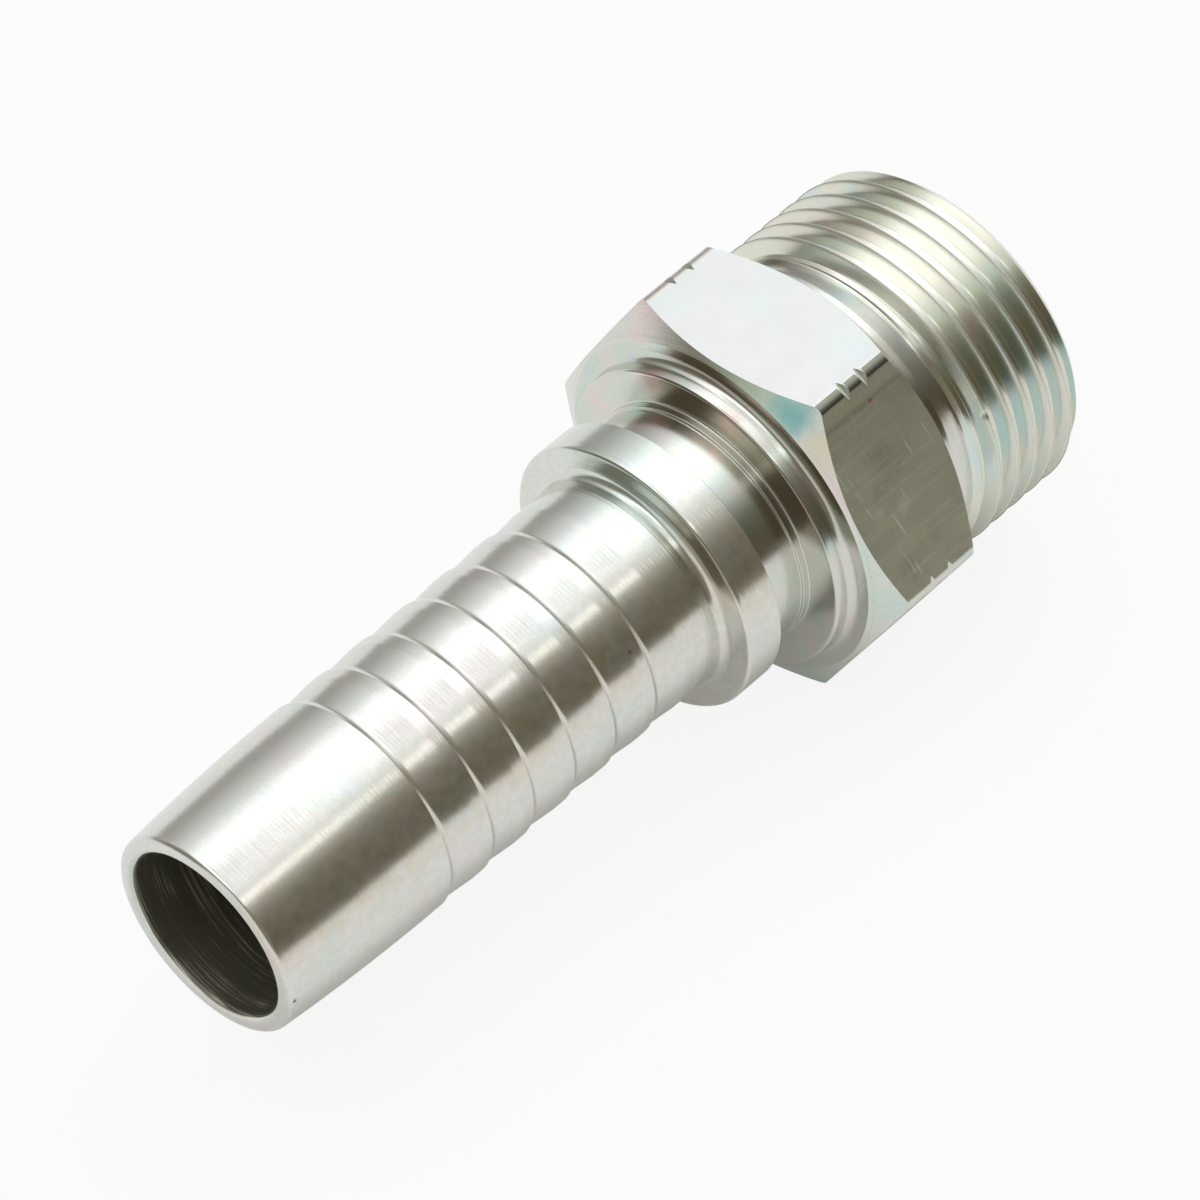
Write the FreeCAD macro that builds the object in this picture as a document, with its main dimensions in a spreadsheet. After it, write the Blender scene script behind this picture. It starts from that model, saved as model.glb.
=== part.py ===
import FreeCAD, Part
import math
import os

import Sketcher

# Hose insert turned from hexagon bar: ribbed hose tail, collar, neck, boss, hexagon and male thread, in one piece.
# Sizes in millimetres and degrees. Stations run along the axis from the mouth of the hose tail.
SIZES = (
    # hose tail
    ("tail_diameter", 19.4, "tail over the ribs"),
    ("mouth_wall", 1.5, "wall round the bore at the mouth, before the lead swells to full size"),
    ("tail_edge_bevel", 0.45, "bevel of the edge at the mouth"),
    ("lead_length", 16.72, "smooth lead from the mouth to the first rib"),
    ("lead_arc_radius", 200.0, "long arc of the lead"),
    ("rib_pitch", 4.575, "from one rib to the next"),
    ("rib_count", 6, "ribs on the tail"),
    ("rib_depth", 0.26, "drop behind each rib"),
    ("rib_drop_angle", 30.0, "slope of the drop, from the axis"),
    ("land_length", 3.43, "plain land between the last rib and the collar"),
    # collar and neck
    ("collar_width", 3.67, "collar that stops the hose"),
    ("collar_diameter", 24.6, "collar over its rim"),
    ("collar_edge_bevel", 0.3, "bevel of the front rim of the collar"),
    ("collar_root_bevel", 0.6, "slope where the tail meets the collar"),
    ("neck_length", 4.03, "plain neck behind the collar"),
    ("neck_diameter", 21.7, "neck between collar and boss"),
    ("neck_step_width", 0.7, "small raised step at the foot of the boss"),
    ("neck_step_height", 0.25, "rise of that step over the neck"),
    # boss and hexagon
    ("boss_width", 1.8, "round boss ahead of the hexagon"),
    ("boss_inset", 2.05, "from the flats of the hexagon in to the boss"),
    ("boss_edge_bevel", 0.3, "bevel of the boss rim"),
    ("boss_root_bevel", 0.6, "slope where the boss meets the hexagon"),
    ("hexagon_width", 11.4, "hexagon along the axis"),
    ("across_flats", 32.0, "wrench size"),
    ("bar_corner_radius", 1.1, "rounded corners of the drawn bar"),
    ("chamfer_circle_inset", 0.4, "gap from the flats to the turned circle on each end of the hexagon"),
    ("front_chamfer_angle", 33.0, "slope of the front chamfer, from the end face"),
    ("back_chamfer_angle", 36.0, "slope of the back chamfer, from the end face"),
    ("corner_groove_spacing", 2.05, "between the two marking grooves round the corners"),
    ("corner_groove_depth", 0.31, "depth of the grooves below the corners"),
    ("corner_groove_slope", 45.0, "slope of the groove walls, from the axis"),
    # thread end
    ("shoulder_width", 1.4, "round shoulder behind the hexagon"),
    ("shoulder_inset", 1.7, "from the flats of the hexagon in to the shoulder"),
    ("relief_width", 1.8, "relief that tapers from the shoulder down to the root of the thread"),
    ("relief_diameter", 27.72, "foot of the relief, where the thread starts"),
    ("run_out_angle", 45.0, "slope from the relief up to the thread, from the axis"),
    ("thread_length", 12.6, "thread from the relief to the end face"),
    ("thread_diameter", 30.16, "thread over its crests"),
    ("thread_end_chamfer", 1.2, "chamfer at the end of the thread"),
    # through bore
    ("bore_diameter", 15.0, "bore from end to end"),
    ("tail_mouth_chamfer", 0.45, "chamfer of the bore in the tail"),
    ("thread_mouth_chamfer", 1.0, "chamfer of the bore in the thread end"),
)
CUTTER_REACH = 3.0  # how far each turning cut reaches outside the corners of the bar
TOUCH = 1e-4  # two edges this close are the same edge


class Size:
    """A length or an angle: its value, and the expression that binds a feature to the sheet."""

    def __init__(self, value, text):
        self.value = value
        self.text = text

    def join(self, sign, other, value):
        return Size(value, "({} {} {})".format(self.text, sign, other.text))

    def __add__(self, other):
        return self.join("+", other, self.value + other.value)

    def __sub__(self, other):
        return self.join("-", other, self.value - other.value)

    def __mul__(self, other):
        return self.join("*", other, self.value * other.value)

    def __truediv__(self, other):
        return self.join("/", other, self.value / other.value)


def number(value):
    return Size(float(value), str(value))


def half(length):
    return length / number(2)


def tangent(angle):
    return Size(math.tan(math.radians(angle.value)), "tan({})".format(angle.text))


# Document, sheet of driving dimensions and the body that they drive
doc = FreeCAD.newDocument("hose_fitting")
sheet = doc.addObject("Spreadsheet::Sheet", "dims")
size = {}
for row, (alias, value, meaning) in enumerate(SIZES, start=1):
    sheet.set("A{}".format(row), alias.replace("_", " "))
    sheet.set("B{}".format(row), str(value))
    sheet.setAlias("B{}".format(row), alias)
    sheet.set("C{}".format(row), meaning)
    size[alias] = Size(float(value), "dims.{}".format(alias))
doc.recompute()

body = doc.addObject("PartDesign::Body", "fitting_body")
body.Label = "fitting_body"
doc.recompute()


def origin_feature(role):
    return next(item for item in body.Origin.OriginFeatures if item.Role == role)


def new_sketch(name, plane):
    sketch = body.newObject("Sketcher::SketchObject", name)
    sketch.AttachmentSupport = [(origin_feature(plane), "")]
    sketch.MapMode = "FlatFace"
    return sketch


def hold(sketch, kind, where, bound, label):
    """Add a dimension to a sketch and bind it to the sheet."""
    index = sketch.addConstraint(Sketcher.Constraint(kind, *where, bound.value))
    sketch.renameConstraint(index, label)
    sketch.setExpression("Constraints." + label, bound.text)


def swelling_arc(left, right, radius):
    """Arc over two points that swells away from the axis, drawn from the right point to the left one."""
    along = right - left
    outward = FreeCAD.Vector(-along.y, along.x, 0).normalize()
    centre = (left + right) / 2 - outward * math.sqrt(radius ** 2 - (along.Length / 2) ** 2)
    first = math.atan2(right.y - centre.y, right.x - centre.x)
    last = math.atan2(left.y - centre.y, left.x - centre.x)
    return Part.ArcOfCircle(Part.Circle(centre, FreeCAD.Vector(0, 0, 1), radius), first, last)


def turned_outline(name, corners, arcs=None):
    """Closed outline in a plane through the axis, for one turning cut.

    Each corner is (label, station, radius), the radius measured from the axis. The side that starts at a corner
    named in arcs is an arc of that radius; the other sides are straight. A station of None lies on the tail's face.
    """
    arcs = arcs or {}
    sketch = new_sketch(name, "XZ_Plane")
    count = len(corners)
    places = [FreeCAD.Vector(station.value if station else 0, radius.value, 0) for _, station, radius in corners]
    ends = []
    for side, (label, _, _) in enumerate(corners):
        start = places[side]
        end = places[(side + 1) % count]
        if label in arcs:
            sketch.addGeometry(swelling_arc(start, end, arcs[label].value), False)
            ends.append((2, 1))
        else:
            sketch.addGeometry(Part.LineSegment(start, end), False)
            ends.append((1, 2))
    for side in range(count):
        after = (side + 1) % count
        sketch.addConstraint(Sketcher.Constraint("Coincident", side, ends[side][1], after, ends[after][0]))
    for side, (label, station, radius) in enumerate(corners):
        point = ends[side][0]
        if station is None:
            sketch.addConstraint(Sketcher.Constraint("PointOnObject", side, point, -2))
        else:
            hold(sketch, "DistanceX", (-1, 1, side, point), station, label + "_station")
        hold(sketch, "DistanceY", (-1, 1, side, point), radius, label + "_radius")
        if label in arcs:
            hold(sketch, "Radius", (side,), arcs[label], label + "_arc")
    return sketch


def finish_feature(feature, grows=False):
    """Recompute after a feature and make sure that it changed the solid the way it should."""
    before = finish_feature.volume
    doc.recompute()
    shape = feature.Shape
    if "Invalid" in feature.State or "Error" in feature.State or shape.isNull() or not shape.isValid():
        raise RuntimeError("{} failed".format(feature.Name))
    if (shape.Volume > before) is not grows:
        raise RuntimeError("{} changed nothing".format(feature.Name))
    finish_feature.volume = shape.Volume
    return feature


finish_feature.volume = 0.0


def turn(name, sketch):
    """Turn the metal inside an outline away, all round the axis."""
    groove = body.newObject("PartDesign::Groove", name)
    groove.Profile = sketch
    groove.ReferenceAxis = (sketch, ["H_Axis"])
    groove.Angle = 360
    return finish_feature(groove)


def repeat(name, feature, count, span):
    """Repeat a cut along the axis, over a span from the first to the last."""
    pattern = body.newObject("PartDesign::LinearPattern", name)
    pattern.Originals = [feature]
    pattern.Direction = (origin_feature("X_Axis"), [""])
    pattern.Length = span.value
    pattern.Occurrences = int(count.value)
    pattern.setExpression("Length", span.text)
    pattern.setExpression("Occurrences", count.text)
    body.Tip = pattern
    return finish_feature(pattern)


def rim(station, radius):
    """Names of the full circles of the present solid at a station and a radius."""
    names = []
    for index, edge in enumerate(body.Tip.Shape.Edges, start=1):
        if not isinstance(edge.Curve, Part.Circle) or not edge.isClosed():
            continue
        off = abs(edge.Curve.Center.x - station.value) + abs(edge.Curve.Radius - radius.value)
        if off < TOUCH:
            names.append("Edge{}".format(index))
    return names


def dress(kind, name, edges, bound, grows=False):
    """Fillet or chamfer the named edges of the present solid; a hollow edge makes the solid grow."""
    base = body.Tip
    dressed = body.newObject("PartDesign::" + kind, name)
    dressed.Base = (base, edges)
    path = "Radius" if kind == "Fillet" else "Size"
    setattr(dressed, path, bound.value)
    dressed.setExpression(path, bound.text)
    return finish_feature(dressed, grows)


# Stations along the axis
first_rib = size["lead_length"]
rib_span = size["rib_pitch"] * size["rib_count"]
collar_front = first_rib + rib_span + size["land_length"]
collar_back = collar_front + size["collar_width"]
neck_end = collar_back + size["neck_length"]
boss_front = neck_end + size["neck_step_width"]
hexagon_front = boss_front + size["boss_width"]
hexagon_back = hexagon_front + size["hexagon_width"]
shoulder_end = hexagon_back + size["shoulder_width"]
thread_start = shoulder_end + size["relief_width"]
thread_end = thread_start + size["thread_length"]

# Radii about the axis
bore_radius = half(size["bore_diameter"])
mouth_radius = bore_radius + size["mouth_wall"]
tail_radius = half(size["tail_diameter"])
collar_radius = half(size["collar_diameter"])
neck_radius = half(size["neck_diameter"])
neck_step_radius = neck_radius + size["neck_step_height"]
flat_radius = half(size["across_flats"])
boss_radius = flat_radius - size["boss_inset"]
chamfer_circle_radius = flat_radius - size["chamfer_circle_inset"]
shoulder_radius = flat_radius - size["shoulder_inset"]
relief_radius = half(size["relief_diameter"])
thread_radius = half(size["thread_diameter"])
thread_tip_radius = thread_radius - size["thread_end_chamfer"]
sharp_corner_radius = flat_radius * Size(2 / math.sqrt(3), "(2 / sqrt(3))")
corner_cut = size["bar_corner_radius"] * Size(2 / math.sqrt(3) - 1, "(2 / sqrt(3) - 1)")
corner_radius = sharp_corner_radius - corner_cut
cutter_radius = sharp_corner_radius + number(CUTTER_REACH)

# Drawn hexagon bar, a flat on top and a flat below
section = new_sketch("bar_section", "YZ_Plane")
SIDES = 6
bar_points = []
for corner in range(SIDES + 1):
    angle = math.radians(360 / SIDES * corner)
    bar_points.append(FreeCAD.Vector(math.cos(angle), math.sin(angle), 0) * sharp_corner_radius.value)
for start, end in zip(bar_points, bar_points[1:]):
    section.addGeometry(Part.LineSegment(start, end), False)
circle = section.addGeometry(Part.Circle(FreeCAD.Vector(), FreeCAD.Vector(0, 0, 1), sharp_corner_radius.value), True)
section.addConstraint(Sketcher.Constraint("Coincident", circle, 3, -1, 1))
for side in range(SIDES):
    section.addConstraint(Sketcher.Constraint("Coincident", side, 2, (side + 1) % SIDES, 1))
    section.addConstraint(Sketcher.Constraint("PointOnObject", side, 1, circle))
for side in range(1, SIDES):
    section.addConstraint(Sketcher.Constraint("Equal", 0, side))
section.addConstraint(Sketcher.Constraint("PointOnObject", 0, 1, -1))
hold(section, "Radius", (circle,), sharp_corner_radius, "corner_circle")
bar = body.newObject("PartDesign::Pad", "bar")
bar.Profile = section
bar.Length = thread_end.value
bar.setExpression("Length", thread_end.text)
finish_feature(bar, grows=True)

long_edges = []
for index, edge in enumerate(bar.Shape.Edges, start=1):
    if abs(edge.BoundBox.XLength - thread_end.value) < TOUCH:
        long_edges.append("Edge{}".format(index))
dress("Fillet", "bar_corners", long_edges, size["bar_corner_radius"])

# Hose end turned down: tail, collar, neck, boss and the front chamfer of the hexagon
front_reach = (cutter_radius - chamfer_circle_radius) * tangent(size["front_chamfer_angle"])
turn("hose_end", turned_outline("hose_end_outline", (
    ("tail_face", None, mouth_radius),
    ("tail_full", first_rib, tail_radius),
    ("collar_root", collar_front, tail_radius),
    ("collar_rim", collar_front, collar_radius),
    ("collar_back_rim", collar_back, collar_radius),
    ("neck_start", collar_back, neck_radius),
    ("neck_stop", neck_end, neck_radius),
    ("neck_step", neck_end, neck_step_radius),
    ("boss_foot", boss_front, neck_step_radius),
    ("boss_rim", boss_front, boss_radius),
    ("boss_root", hexagon_front, boss_radius),
    ("front_circle", hexagon_front, chamfer_circle_radius),
    ("front_chamfer", hexagon_front + front_reach, cutter_radius),
    ("outside", None, cutter_radius),
), {"tail_face": size["lead_arc_radius"]}))

# Thread end turned down: back chamfer, shoulder, relief, thread over its crests and end chamfer
back_reach = (cutter_radius - chamfer_circle_radius) * tangent(size["back_chamfer_angle"])
run_out = (thread_radius - relief_radius) / tangent(size["run_out_angle"])
turn("thread_end", turned_outline("thread_end_outline", (
    ("back_chamfer", hexagon_back - back_reach, cutter_radius),
    ("back_circle", hexagon_back, chamfer_circle_radius),
    ("shoulder_root", hexagon_back, shoulder_radius),
    ("shoulder_rim", shoulder_end, shoulder_radius),
    ("relief_foot", thread_start, relief_radius),
    ("thread_crest", thread_start + run_out, thread_radius),
    ("end_chamfer", thread_end - size["thread_end_chamfer"], thread_radius),
    ("end_face", thread_end, thread_tip_radius),
    ("outside", thread_end, cutter_radius),
)))

# Ribs of the tail: behind each crest a short drop, then a long taper that climbs to the next crest
drop_run = size["rib_depth"] / tangent(size["rib_drop_angle"])
rib_cut = turn("rib_cut", turned_outline("rib_outline", (
    ("drop", first_rib, tail_radius),
    ("valley", first_rib + drop_run, tail_radius - size["rib_depth"]),
    ("next_crest", first_rib + size["rib_pitch"], tail_radius),
    ("above_crest", first_rib + size["rib_pitch"], collar_radius),
    ("above_drop", first_rib, collar_radius),
)))
repeat("ribs", rib_cut, size["rib_count"], rib_span - size["rib_pitch"])

# Two marking grooves that only touch the corners of the hexagon
groove_station = (hexagon_front + hexagon_back - size["corner_groove_spacing"]) / number(2)
groove_floor = corner_radius - size["corner_groove_depth"]
groove_reach = (cutter_radius - groove_floor) / tangent(size["corner_groove_slope"])
corner_groove = turn("corner_groove", turned_outline("corner_groove_outline", (
    ("groove_front", groove_station - groove_reach, cutter_radius),
    ("groove_floor", groove_station, groove_floor),
    ("groove_back", groove_station + groove_reach, cutter_radius),
)))
repeat("corner_grooves", corner_groove, number(2), size["corner_groove_spacing"])

# Bore from end to end
bore_circle = new_sketch("bore_circle", "YZ_Plane")
circle = bore_circle.addGeometry(Part.Circle(FreeCAD.Vector(), FreeCAD.Vector(0, 0, 1), bore_radius.value), False)
bore_circle.addConstraint(Sketcher.Constraint("Coincident", circle, 3, -1, 1))
hold(bore_circle, "Radius", (circle,), bore_radius, "bore_radius")
bore = body.newObject("PartDesign::Pocket", "bore")
bore.Profile = bore_circle
bore.Type = "Length"
bore.Reversed = True
bore.Length = thread_end.value
bore.setExpression("Length", thread_end.text)
finish_feature(bore)

# Bevelled rims and roots, chamfered mouths
mouth = Size(0.0, "0")
dress("Chamfer", "tail_edge", rim(mouth, mouth_radius), size["tail_edge_bevel"])
dress("Chamfer", "collar_root", rim(collar_front, tail_radius), size["collar_root_bevel"], grows=True)
dress("Chamfer", "collar_edge", rim(collar_front, collar_radius), size["collar_edge_bevel"])
dress("Chamfer", "boss_edge", rim(boss_front, boss_radius), size["boss_edge_bevel"])
dress("Chamfer", "boss_root", rim(hexagon_front, boss_radius), size["boss_root_bevel"], grows=True)
dress("Chamfer", "tail_mouth", rim(mouth, bore_radius), size["tail_mouth_chamfer"])
dress("Chamfer", "thread_mouth", rim(thread_end, bore_radius), size["thread_mouth_chamfer"])

# Lying on one flat of the hexagon, the middle of its length over the origin
body.setExpression("Placement.Base.x", "-({}) / 2".format(thread_end.text))
body.setExpression("Placement.Base.z", "{}".format(flat_radius.text))
doc.recompute()

for item in doc.Objects:
    if "Invalid" in item.State or "Error" in item.State:
        raise RuntimeError("{} failed".format(item.Name))
shape = body.Shape
if shape.isNull() or not shape.isValid() or len(shape.Solids) != 1:
    raise RuntimeError("the fitting is not one sound solid")

os.makedirs("parts", exist_ok=True)
shape.exportStep("parts/{}.step".format(body.Label))
print("length {:.2f} mm, volume {:.1f} mm3".format(shape.BoundBox.XLength, shape.Volume))
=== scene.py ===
"""Looks of a zinc plated hose insert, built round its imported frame."""

import logging
import math
from dataclasses import dataclass
from enum import Enum

import bpy
from bpy.types import ColorRamp, Material, MeshPolygon, NodeSocket, NodeTree, Object
from mathutils import Matrix, Vector


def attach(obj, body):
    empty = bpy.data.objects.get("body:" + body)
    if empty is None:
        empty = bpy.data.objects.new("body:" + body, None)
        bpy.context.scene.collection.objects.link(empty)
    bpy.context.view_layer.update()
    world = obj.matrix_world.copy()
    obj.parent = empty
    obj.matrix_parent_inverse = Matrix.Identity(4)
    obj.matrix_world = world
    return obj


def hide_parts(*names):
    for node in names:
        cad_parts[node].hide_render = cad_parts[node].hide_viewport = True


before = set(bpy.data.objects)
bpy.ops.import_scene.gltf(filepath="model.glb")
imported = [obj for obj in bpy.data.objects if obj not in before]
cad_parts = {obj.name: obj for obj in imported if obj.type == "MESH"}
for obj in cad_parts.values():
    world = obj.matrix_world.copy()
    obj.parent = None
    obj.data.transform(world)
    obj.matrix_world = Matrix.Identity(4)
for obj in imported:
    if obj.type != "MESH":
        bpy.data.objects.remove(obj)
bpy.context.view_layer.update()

LOG = logging.getLogger("hose_fitting")
MM = 0.001
AXIS_HEIGHT = 0.016  # metres
STEPS_ROUND = 204  # facets round the axis
WELD = 1e-7  # points this close, in metres, are one point
SMOOTH_BELOW = 20  # degrees under which two faces shade as one
AREA_WEIGHT = 60  # how much large faces count in the normals

Span = tuple[float, float]
Triple = tuple[float, float, float]
Colour = tuple[float, float, float]


class Area(Enum):
    """Areas of the fitting that were finished in different ways."""

    TURNED = 0
    TAIL = 1
    FLAT = 2
    CHAMFER = 3
    THREAD = 4
    BORE = 5
    CORNER = 6


class Cut(Enum):
    """Ways to combine two closed shapes."""

    COMMON = "INTERSECT"
    AWAY = "DIFFERENCE"


# Modelling moves


@dataclass(frozen=True)
class Corner:
    """A corner of a turned outline, in millimetres.

    Args:
        station: distance along the axis from the mouth of the hose tail.
        radius: distance from the axis.
        rounding: radius that rounds the corner off; 0 leaves it sharp.
        swell: radius of the arc that the side after it follows; 0 leaves that side straight.
    """

    station: float
    radius: float
    rounding: float = 0.0
    swell: float = 0.0


@dataclass(frozen=True)
class Outline:
    """Closed half section of a turned shape, read corner by corner."""

    corners: list[Corner]
    rounding_steps: int = 7
    swell_steps: int = 8

    def _rounded(self, before: Corner, here: Corner, after: Corner) -> list[Vector]:
        """Points that stand for one corner.

        Args:
            before: the corner ahead of it.
            here: the corner itself.
            after: the corner that follows.

        Returns:
            The corner's own point, or points along the arc that rounds it.
        """
        point = Vector((here.station, here.radius))
        if not here.rounding:
            return [point]
        back = (Vector((before.station, before.radius)) - point).normalized()
        ahead = (Vector((after.station, after.radius)) - point).normalized()
        half_angle = back.angle(ahead) / 2
        centre = point + (back + ahead).normalized() * (here.rounding / math.sin(half_angle))
        reach = here.rounding / math.tan(half_angle)
        first = point + back * reach - centre
        last = point + ahead * reach - centre
        turn = first.angle(last)
        points = []
        for step in range(self.rounding_steps + 1):
            share = step / self.rounding_steps
            blend = first * math.sin((1 - share) * turn) + last * math.sin(share * turn)
            points.append(centre + blend / math.sin(turn))
        return points

    def _swollen(self, start: Vector, end: Vector, radius: float) -> list[Vector]:
        """Points between two ends of an arc that swells away from the axis."""
        along = end - start
        half_chord = along.length / 2
        outward = Vector((-along.y, along.x)).normalized()
        sink = math.sqrt(radius**2 - half_chord**2)
        centre = (start + end) / 2 - outward * sink
        points = []
        for step in range(1, self.swell_steps):
            place = start.lerp(end, step / self.swell_steps) - centre
            points.append(centre + place.normalized() * radius)
        return points

    def points(self) -> list[Vector]:
        """All points of the section in order, in millimetres."""
        run = self.corners
        threes = zip(run[-1:] + run[:-1], run, run[1:] + run[:1])
        groups = [self._rounded(*three) for three in threes]
        points: list[Vector] = []
        for corner, group, after in zip(run, groups, groups[1:] + groups[:1]):
            points += group
            if corner.swell:
                points += self._swollen(group[-1], after[0], corner.swell)
        return points


class Bench:
    """The modelling moves that every shape shares."""

    @staticmethod
    def clear() -> None:
        """Leave edit mode and select nothing."""
        if bpy.context.object and bpy.context.object.mode != "OBJECT":
            bpy.ops.object.mode_set(mode="OBJECT")
        bpy.ops.object.select_all(action="DESELECT")

    @classmethod
    def take(cls, piece: Object) -> None:
        """Make one piece the only selected one, and the active one."""
        cls.clear()
        piece.select_set(True)
        bpy.context.view_layer.objects.active = piece

    @classmethod
    def draw(cls, name: str, points: list[Vector]) -> Object:
        """Draw a closed line in the plane of the axis, one extruded point after another.

        Args:
            name: name of the new object.
            points: stations and radii in millimetres.

        Returns:
            The object, still in edit mode with all of the line selected.
        """
        cls.clear()
        start = Vector((points[0].x, 0, points[0].y)) * MM
        bpy.ops.mesh.primitive_plane_add(size=MM, location=start)
        line = bpy.context.object
        line.name = name
        bpy.ops.object.transform_apply()
        bpy.ops.object.mode_set(mode="EDIT")
        bpy.ops.mesh.select_all(action="SELECT")
        bpy.ops.mesh.merge(type="CENTER")
        for here, after in zip(points, points[1:] + points[:1]):
            move = Vector((after.x - here.x, 0, after.y - here.y)) * MM
            bpy.ops.mesh.extrude_region_move(TRANSFORM_OT_translate={"value": move})
        cls.weld()
        return line

    @staticmethod
    def weld() -> None:
        """Weld the shape in edit mode and leave all of it selected."""
        bpy.ops.mesh.select_all(action="SELECT")
        bpy.ops.mesh.remove_doubles(threshold=WELD)
        bpy.ops.mesh.select_all(action="SELECT")

    @classmethod
    def close_up(cls) -> None:
        """Weld the shape in edit mode, point its faces outward and leave edit mode."""
        cls.weld()
        bpy.ops.mesh.normals_make_consistent()
        bpy.ops.object.mode_set(mode="OBJECT")

    @classmethod
    def spin(cls, name: str, outline: Outline) -> Object:
        """Turn an outline once round the axis into a closed shape.

        Args:
            name: name of the new object.
            outline: the half section.

        Returns:
            The turned object.
        """
        turned = cls.draw(name, outline.points())
        bpy.ops.mesh.spin(steps=STEPS_ROUND, angle=math.tau, center=(0, 0, 0), axis=(1, 0, 0))
        cls.close_up()
        return turned

    @classmethod
    def apply(cls, piece: Object, kind: str, **settings: object) -> None:
        """Add a modifier to a piece and apply it.

        Args:
            piece: the piece to change.
            kind: the modifier's type.
            settings: its settings by name.
        """
        cls.take(piece)
        bpy.ops.object.modifier_add(type=kind)
        modifier = piece.modifiers[-1]
        for name, value in settings.items():
            setattr(modifier, name, value)
        bpy.ops.object.modifier_apply(modifier=modifier.name)

    @classmethod
    def combine(cls, piece: Object, tool: Object, cut: Cut) -> None:
        """Cut a piece with a tool shape, then throw the tool away."""
        cls.apply(piece, "BOOLEAN", operation=cut.value, object=tool, solver="MANIFOLD")
        bpy.data.objects.remove(tool)


# The fitting


@dataclass(frozen=True)
class HoseTail:
    """Ribbed tail that the hose is pressed on to, with its collar."""

    mouth_radius: float = 9.0
    mouth_rounding: float = 0.55
    full_radius: float = 9.7
    lead_length: float = 16.72
    lead_arc: float = 200.0
    rib_pitch: float = 4.575
    rib_count: int = 6
    rib_depth: float = 0.26
    rib_land: float = 1.15  # plain length ahead of each crest
    rib_drop: float = 0.45  # length of the slope behind each crest
    rib_crest_rounding: float = 0.05
    rib_valley_rounding: float = 0.8
    rib_rise_rounding: float = 3.0
    collar_front: float = 47.6
    collar_back: float = 51.27
    collar_radius: float = 12.3
    collar_rounding: float = 0.35
    collar_back_rounding: float = 0.06
    collar_root: float = 0.8

    def corners(self) -> list[Corner]:
        """Corners from the mouth of the tail to the back of the collar."""
        run = [Corner(0, self.mouth_radius, self.mouth_rounding, self.lead_arc)]
        valley_radius = self.full_radius - self.rib_depth
        for rib in range(self.rib_count):
            crest = self.lead_length + rib * self.rib_pitch
            risen = crest + self.rib_pitch - self.rib_land
            run += [
                Corner(crest, self.full_radius, self.rib_crest_rounding),
                Corner(crest + self.rib_drop, valley_radius, self.rib_valley_rounding),
                Corner(risen, self.full_radius, self.rib_rise_rounding),
            ]
        return run + [
            Corner(self.collar_front, self.full_radius, self.collar_root),
            Corner(self.collar_front, self.collar_radius, self.collar_rounding),
            Corner(self.collar_back, self.collar_radius, self.collar_back_rounding),
        ]


@dataclass(frozen=True)
class Neck:
    """Neck, the fine step at its end, and the round boss ahead of the hexagon."""

    start: float = HoseTail.collar_back
    radius: float = 10.85
    root_rounding: float = 0.15
    step_start: float = 55.3
    step_height: float = 0.25
    step_rounding: float = 0.08
    boss_foot: float = 0.12
    boss_front: float = 56.0
    boss_radius: float = 13.95
    boss_rounding: float = 0.3
    boss_root: float = 0.8

    def corners(self) -> list[Corner]:
        """Corners from the back of the collar to the root of the boss."""
        ridge = self.radius + self.step_height
        return [
            Corner(self.start, self.radius, self.root_rounding),
            Corner(self.step_start, self.radius, self.step_rounding),
            Corner(self.step_start, ridge, self.step_rounding),
            Corner(self.boss_front, ridge, self.boss_foot),
            Corner(self.boss_front, self.boss_radius, self.boss_rounding),
            Corner(Hexagon.front, self.boss_radius, self.boss_root),
        ]


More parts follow.
